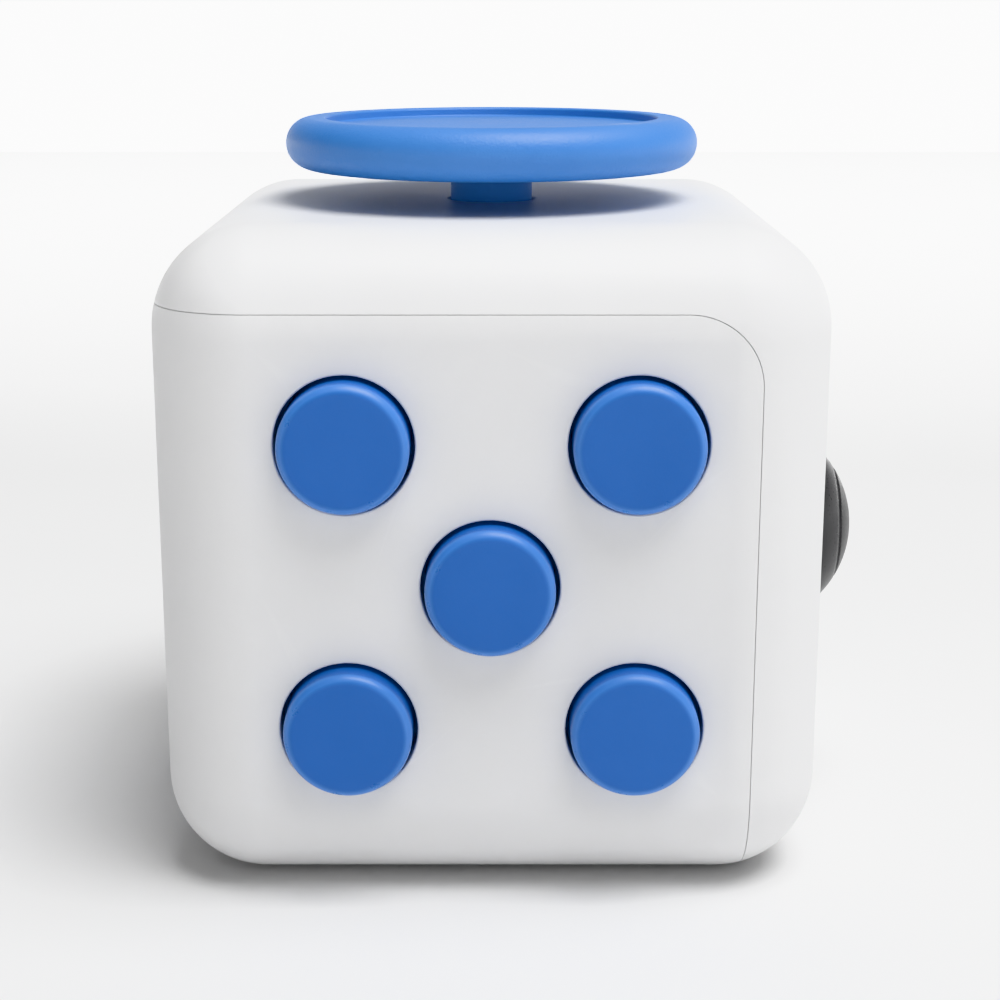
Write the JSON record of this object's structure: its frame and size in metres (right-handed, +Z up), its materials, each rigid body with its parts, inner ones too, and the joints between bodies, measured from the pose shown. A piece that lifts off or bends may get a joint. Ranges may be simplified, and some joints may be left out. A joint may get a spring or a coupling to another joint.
{
  "type": "fidget cube",
  "caption": "Rounded desk fidget cube in a split shell, with push buttons, a spin disc, a thumb stick, a flip rocker, thumb gears beside a roller ball, and a thumb dish.",
  "frame": {"origin": "middle of the whole object's footprint, on the surface it rests on", "axes": "+Z up to the spin disc, -Y out of the push-button face, +X out of the thumb-stick face"},
  "size_m": [0.0379, 0.0359, 0.0373],
  "materials": {
    "white_shell": "white moulded plastic with a fine satin texture",
    "blue_plastic": "mid-blue moulded plastic, satin with a fine grain",
    "dark_stick": "dark grey moulded plastic, semi-gloss",
    "inner_plastic": "light grey moulded plastic",
    "silicone": "soft translucent-looking silicone rubber",
    "steel": "bright zinc-plated steel",
    "polished_ball": "polished steel",
    "spring_steel": "plain spring steel"
  },
  "bodies": {
    "shell": {"front_left_base_shell": "white_shell", "top_right_back_shell": "white_shell", "snap_dome_upper_left": "spring_steel", "snap_dome_centre": "spring_steel", "snap_dome_lower_right": "spring_steel", "silent_pad_upper_right": "silicone", "silent_pad_lower_left": "silicone", "click_plate": "inner_plastic", "click_screw_left": "steel", "click_screw_right": "steel", "click_screw_lower": "steel", "click_screw_upper": "steel", "flip_bracket": "inner_plastic", "flip_pivot_pin": "steel", "flip_spring": "spring_steel", "flip_screw_lower": "steel", "flip_screw_upper": "steel", "roll_axle": "steel", "ball_spring": "spring_steel", "roll_bracket": "inner_plastic", "roll_screw_left": "steel", "roll_screw_right": "steel", "glide_tray": "inner_plastic", "glide_centring_ring": "silicone", "glide_screw_front": "steel", "glide_screw_rear": "steel", "spin_detent_spring": "spring_steel"},
    "button_upper_left": {"click_button_upper_left": "blue_plastic"},
    "button_upper_right": {"click_button_upper_right": "blue_plastic"},
    "button_centre": {"click_button_centre": "blue_plastic"},
    "button_lower_left": {"click_button_lower_left": "blue_plastic"},
    "button_lower_right": {"click_button_lower_right": "blue_plastic"},
    "rocker": {"flip_rocker": "blue_plastic"},
    "gear_left": {"roll_gear_left": "blue_plastic"},
    "gear_middle": {"roll_gear_middle": "blue_plastic"},
    "gear_right": {"roll_gear_right": "blue_plastic"},
    "ball_carrier": {"ball_cup": "inner_plastic"},
    "ball": {"roll_ball": "polished_ball"},
    "carriage": {"glide_carriage": "inner_plastic"},
    "stick": {"glide_stick": "dark_stick", "glide_retaining_clip": "spring_steel"},
    "spinner": {"spin_disc": "blue_plastic", "spin_detent_wheel": "inner_plastic", "spin_washer": "steel", "spin_screw": "steel"}
  },
  "joints": [
    {"name": "click_upper_left", "type": "slide", "parent": "shell", "child": "button_upper_left", "axis": [0, 1, 0], "range_m": [0, 0.001], "stiffness_N_per_m": 500, "springref_m": -0.0004, "deforming": ["snap_dome_upper_left"]},
    {"name": "click_upper_right", "type": "slide", "parent": "shell", "child": "button_upper_right", "axis": [0, 1, 0], "range_m": [0, 0.001], "stiffness_N_per_m": 500, "springref_m": -0.0004, "deforming": ["silent_pad_upper_right"]},
    {"name": "click_centre", "type": "slide", "parent": "shell", "child": "button_centre", "axis": [0, 1, 0], "range_m": [0, 0.001], "stiffness_N_per_m": 500, "springref_m": -0.0004, "deforming": ["snap_dome_centre"]},
    {"name": "click_lower_left", "type": "slide", "parent": "shell", "child": "button_lower_left", "axis": [0, 1, 0], "range_m": [0, 0.001], "stiffness_N_per_m": 500, "springref_m": -0.0004, "deforming": ["silent_pad_lower_left"]},
    {"name": "click_lower_right", "type": "slide", "parent": "shell", "child": "button_lower_right", "axis": [0, 1, 0], "range_m": [0, 0.001], "stiffness_N_per_m": 500, "springref_m": -0.0004, "deforming": ["snap_dome_lower_right"]},
    {"name": "flip", "type": "hinge", "parent": "shell", "child": "rocker", "pos_m": [-0.0145, 0, 0.0165], "axis": [0, -1, 0], "range_deg": [0, 28], "deforming": ["flip_spring"]},
    {"name": "roll_left", "type": "hinge", "parent": "shell", "child": "gear_left", "pos_m": [-0.0052, 0.0135, 0.0205], "axis": [1, 0, 0], "continuous": true},
    {"name": "roll_middle", "type": "hinge", "parent": "shell", "child": "gear_middle", "pos_m": [-0.0008, 0.0135, 0.0205], "axis": [1, 0, 0], "continuous": true},
    {"name": "roll_right", "type": "hinge", "parent": "shell", "child": "gear_right", "pos_m": [0.0036, 0.0135, 0.0205], "axis": [1, 0, 0], "continuous": true},
    {"name": "ball_press", "type": "slide", "parent": "shell", "child": "ball_carrier", "axis": [0, -1, 0], "range_m": [0, 0.0008], "stiffness_N_per_m": 500, "springref_m": -0.0004, "deforming": ["ball_spring"]},
    {"name": "ball_roll", "type": "hinge", "parent": "ball_carrier", "child": "ball", "pos_m": [-0.0008, 0.0147, 0.0108], "axis": [1, 0, 0], "continuous": true},
    {"name": "glide_front_to_back", "type": "slide", "parent": "shell", "child": "carriage", "axis": [0, 1, 0], "range_m": [-0.001, 0.001], "stiffness_N_per_m": 300, "deforming": ["glide_centring_ring"]},
    {"name": "glide_up_and_down", "type": "slide", "parent": "carriage", "child": "stick", "axis": [0, 0, 1], "range_m": [-0.001, 0.001], "stiffness_N_per_m": 300, "deforming": ["glide_centring_ring"]},
    {"name": "spin", "type": "hinge", "parent": "shell", "child": "spinner", "pos_m": [-0.0008, 0, 0.036], "axis": [0, 0, 1], "continuous": true, "deforming": ["spin_detent_spring"]}
  ]
}
